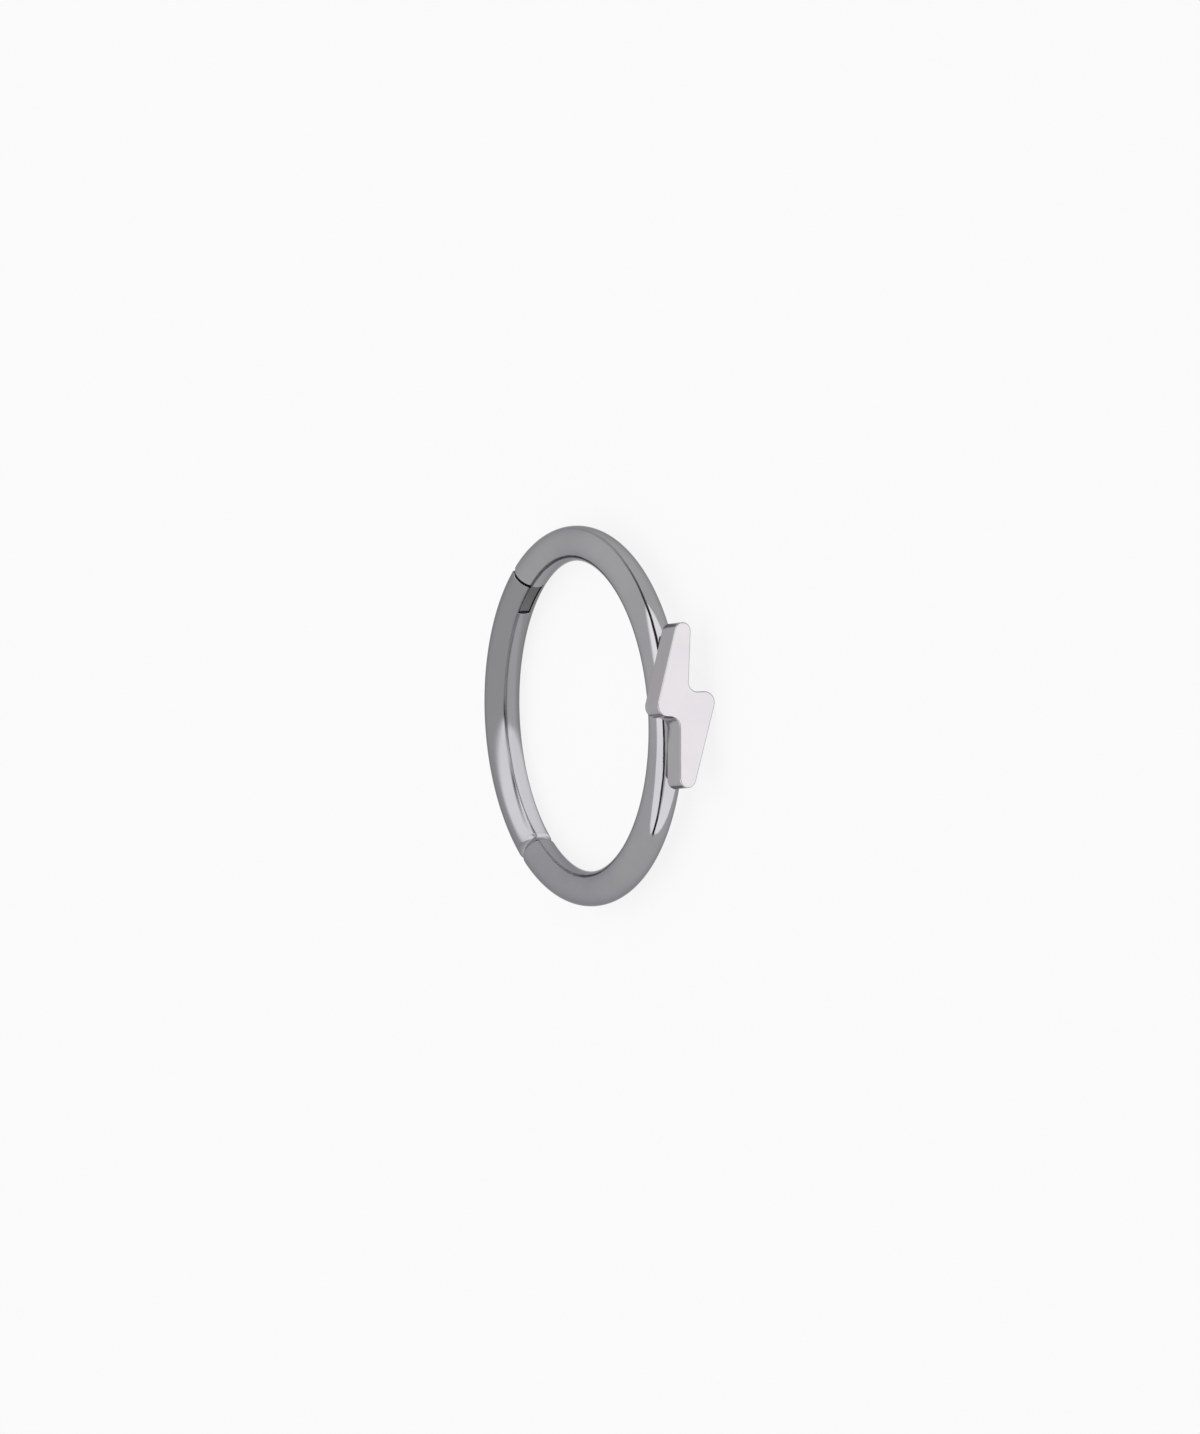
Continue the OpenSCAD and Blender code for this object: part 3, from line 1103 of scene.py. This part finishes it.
# %% Softboxes for the gate
softbox("gate_softbox_above", for_gate, (-1.5, -0.4, 1), (4.2, 12, 1), 1.08, [
    ((0.12, 1, 0), 0.04, 0.36),
    ((1, 0, 0), -1.4, -0.4),
    ((0, -1, 0), -12.0, -9.0),
])
softbox("gate_softbox_below", for_gate, (-1.0, 0, -1), (2, 9, -1), 0.97, [
    ((0, 1, 0), 0.02, 0.22),
    ((1, 0, 0), -0.9, -0.4),
])
softbox("gate_softbox_front", for_gate, (2, -0.1, -1), (2, 12, 0.9), 1.02, [
    ((0, 1, 0), -0.05, 0.25),
    ((0, 0.035, -1), -0.46, -0.44),
])
softbox("gate_fill", for_gate, (0.1, -8, -1), (8, 0.2, -1), 0.17, [
    ((1, 0, 0), 0.1, 0.6),
    ((0, -1, 0), -0.2, 0.0),
])

# %% [markdown]
# The dark lines are ribbons of black card and gauze that stand around the ring. A card can't be
# linked to a piece as a lamp can, and the near and the far side of the ring don't mirror the same
# ones. Their material therefore asks how far the ray has come. A ray from the side of the ring
# that is near the card has come a shorter way than one from the ring's middle would, and a ray
# from the far side a longer one. How dark the ribbon is at a place, and which of its two edges the
# place is on, are kept in its UV map, so that gauze can fade out along its course and towards its
# edges.

# %% Helpers for ribbons
def towards(azimuth, elevation, distance):
    """A place, by its angle from the bolt, its angle above the horizon and its distance."""
    rise = math.radians(elevation)
    return at_ring(distance * math.cos(rise), azimuth) + Vector((0, 0, distance * math.sin(rise)))


def ribbon(name, course, rise, material):
    """An upright strip along a course of angles, distances and darknesses, drawn by extruding."""
    obj = trace([towards(*stop[:3]) - Vector((0, 0, rise / 2)) for stop in course])
    obj.name = name
    pull((0, 0, rise))
    done()
    uv = (obj.data.uv_layers.active or obj.data.uv_layers.new()).data
    for loop in obj.data.loops:
        row, stop = divmod(loop.vertex_index, len(course))
        uv[loop.index].uv = (course[stop][3], row)
    dress(obj, material)
    obj.visible_camera = False
    obj.visible_diffuse = False
    print("%s: %d stops, %.0f mm tall" % (name, len(course), rise / MM))


# %% [markdown]
# The gauze is a mix of black card and clear air. Two masks say how much card there is: one asks
# from which side of the ring the ray came, and the other how dense the weave is at that place. A
# ray counts only when its way is shorter, or longer, by a good part of the wire's thickness.

# %% The gauze's two masks
NEAR_SIDE = 1
FAR_SIDE = -1
WAY = 0.0008


def came_from(tree, side):
    """1 where the ray came from that side of the ring, else 0."""
    spot = add_node(tree, "NewGeometry")
    whole = add_node(tree, "VectorMath", operation="LENGTH")
    path = add_node(tree, "LightPath")
    saved = add_node(tree, "Math", operation="SUBTRACT")
    turned = add_node(tree, "Math", {1: side}, operation="MULTIPLY")
    seen = add_node(tree, "Math", {1: WAY}, operation="GREATER_THAN")
    wire_up(
        tree,
        (spot.outputs["Position"], whole.inputs[0]),
        (whole.outputs["Value"], saved.inputs[0]),
        (path.outputs["Ray Length"], saved.inputs[1]),
        (saved.outputs[0], turned.inputs[0]),
        (turned.outputs[0], seen.inputs[0]),
    )
    return seen.outputs[0]


def weave(tree, solid):
    """The darkness along the ribbon, which fades out from its solid middle to its two edges."""
    coords = add_node(tree, "TexCoord")
    kept = add_node(tree, "SeparateXYZ")
    across = add_node(tree, "Math", {1: 0.5}, operation="SUBTRACT")
    off = add_node(tree, "Math", operation="ABSOLUTE")
    fade = add_node(tree, "MapRange", {"From Min": 0.5, "From Max": 0.5 * solid},
                    interpolation_type="SMOOTHSTEP")
    dark = add_node(tree, "Math", operation="MULTIPLY")
    wire_up(
        tree,
        (coords.outputs["UV"], kept.inputs[0]),
        (kept.outputs["Y"], across.inputs[0]),
        (across.outputs[0], off.inputs[0]),
        (off.outputs[0], fade.inputs["Value"]),
        (fade.outputs["Result"], dark.inputs[0]),
        (kept.outputs["X"], dark.inputs[1]),
    )
    return dark.outputs[0]


# %% [markdown]
# The two masks are multiplied, and the product chooses between the card and a clear shader. A real
# weave would need thousands of threads, and from here nobody would see them.

# %% Gauze for the ribbons
BLACK_CARD = (0.02, 0.02, 0.02, 1)


def gauze(name, side, solid):
    """Black for rays from one side of the ring, and clear for the others."""
    made = bpy.data.materials.new(name)
    made.use_nodes = True
    tree = made.node_tree
    card = tree.nodes["Principled BSDF"]
    card.inputs["Base Color"].default_value = BLACK_CARD
    card.inputs["Roughness"].default_value = 1
    opaque = add_node(tree, "Math", operation="MULTIPLY")
    clear = add_node(tree, "BsdfTransparent")
    choice = add_node(tree, "MixShader")
    wire_up(
        tree,
        (weave(tree, solid), opaque.inputs[0]),
        (came_from(tree, side), opaque.inputs[1]),
        (opaque.outputs[0], choice.inputs[0]),
        (clear.outputs[0], choice.inputs[1]),
        (card.outputs[0], choice.inputs[2]),
        (choice.outputs[0], tree.nodes["Material Output"].inputs["Surface"]),
    )
    return made


# %% [markdown]
# For rays from the near side, one ribbon draws the black line up the lower right of the ring, and
# one the line over its top, which thins out towards the hinge. For rays from the far side, one draws
# the soft line that runs along the inner side of the wire from the bottom to the hinge, one widens
# that line in the bright half of the gate, and a short one starts it again past the clasp. Each
# stop has its angle from the bolt, its angle above the horizon, its distance and its darkness.

# %% Ribbons
ribbon("near_ribbon", [
    (-77, 10, 0.26, 0.9), (-75.5, 10.5, 0.25, 1), (-72, 12, 0.24, 1), (-66, 15, 0.22, 1),
    (-60, 19, 0.22, 1), (-53, 23, 0.21, 1), (-47, 27, 0.2, 1), (-40, 31, 0.18, 1),
    (-34, 35.5, 0.17, 1), (-27, 39.5, 0.15, 1), (-20, 43.5, 0.14, 1), (-12, 48, 0.13, 1),
    (-4, 51, 0.12, 1),
], 0.052, gauze("black_card", NEAR_SIDE, solid=0.8))
ribbon("upper_ribbon", [
    (36, 21, 0.2, 1), (40, 18, 0.21, 1), (43, 16.2, 0.22, 1), (48, 14.5, 0.24, 1),
    (53, 12, 0.26, 1), (58, 9.8, 0.28, 1), (66, 8.3, 0.3, 0.95), (77, 4.5, 0.32, 0.8),
    (87, 2.5, 0.34, 0.65), (97, 0, 0.36, 0.45), (109, -5, 0.38, 0.3), (125, -8, 0.4, 0.25),
    (145, -12, 0.42, 0.1), (160, -14, 0.42, 0),
], 0.075, gauze("fading_gauze", NEAR_SIDE, solid=0.75))
ribbon("far_ribbon", [
    (-172, -9, 0.3, 0.3), (-162, -8, 0.3, 0.5), (-152, -4.5, 0.3, 0.6), (-142, -1, 0.3, 0.65),
    (-132, 0, 0.3, 0.75), (-121, 1, 0.3, 0.85), (-105, 4, 0.3, 0.7), (-81, 9, 0.3, 0.5),
    (-65, 10.5, 0.3, 0.4), (-40, 10.5, 0.3, 0.38), (-20, 14, 0.3, 0.4), (-6, 14.5, 0.3, 0.4),
    (5, 12, 0.3, 0.25), (20, 12, 0.3, 0),
], 0.075, gauze("dark_gauze", FAR_SIDE, solid=0.15))
ribbon("gate_ribbon", [
    (-20, 14, 0.31, 0), (-6, 14.5, 0.31, 0.3), (5, 12, 0.31, 0.7), (25, 12, 0.31, 0.95),
    (44, 14.5, 0.31, 0.9), (63, 20, 0.31, 0.55), (75, 22, 0.31, 0.3), (86, 23, 0.31, 0.1),
], 0.14, gauze("wide_gauze", FAR_SIDE, solid=0.1))
ribbon("clasp_ribbon", [
    (88, 2, 0.34, 0.2), (95, 0, 0.34, 0.6), (104, -3.5, 0.34, 0.55), (112, -5.5, 0.34, 0.45),
    (121, -7, 0.34, 0.25), (130, -8, 0.34, 0),
], 0.05, gauze("thin_gauze", FAR_SIDE, solid=0.1))

# %% [markdown]
# The table's own lamp hangs straight above and lays a faint soft shadow under the ring. It could
# also light the metal, but a lamp shows in polished metal as a bright square, so it is hidden from
# reflections. Only the ring's pieces block it, and the ribbons cast nothing on the table.

# %% Table light
TABLE_LIGHT_UP = 1.2
TABLE_LIGHT_SIZE = 1.6
table_light = lamp("table_light", (0, 0, TABLE_LIGHT_UP), (TABLE_LIGHT_SIZE, TABLE_LIGHT_SIZE), 1.0)
table_light.visible_glossy = False
table_light.light_linking.blocker_collection = ring_pieces
print("table light %.1f m up, %.1f W" % (TABLE_LIGHT_UP, table_light.data.energy))

# %% [markdown]
# ## The camera
# The photo was taken from far away, because the ring's near and far side are nearly the same size in
# it. The camera stands a metre off with a very long lens. Its right and up directions come from
# fitting the outline of a torus to the photo. They could be given as three angles too, but two
# directions say more plainly how the ring lies in the picture: its hinge side is at the top.

# %% Camera
CAMERA_RIGHT = Vector((0.5088, -0.0651, -0.8584))
CAMERA_UP = Vector((0.0538, 0.9976, -0.0437))
FRAME_HEIGHT = 0.041517
CAMERA_DISTANCE = 1.0
AIM_RIGHT = 0.000473
AIM_DOWN = 0.000029
SENSOR = 36.0
right = CAMERA_RIGHT.normalized()
up = (CAMERA_UP - CAMERA_UP.dot(right) * right).normalized()
back = right.cross(up)
aim = ring_centre * MM + right * AIM_RIGHT - up * AIM_DOWN
camera = bpy.data.objects.new("camera", bpy.data.cameras.new("camera"))
scene.collection.objects.link(camera)
scene.camera = camera
camera.matrix_world = Matrix.Translation(aim + back * CAMERA_DISTANCE) @ Matrix(
    (right, up, back)).transposed().to_4x4()
camera.data.sensor_width = SENSOR
camera.data.lens = SENSOR * CAMERA_DISTANCE / FRAME_HEIGHT
camera.data.clip_start = 0.1
camera.data.clip_end = 20.0
print("lens %.0f mm, %.1f m from the ring" % (camera.data.lens, CAMERA_DISTANCE))
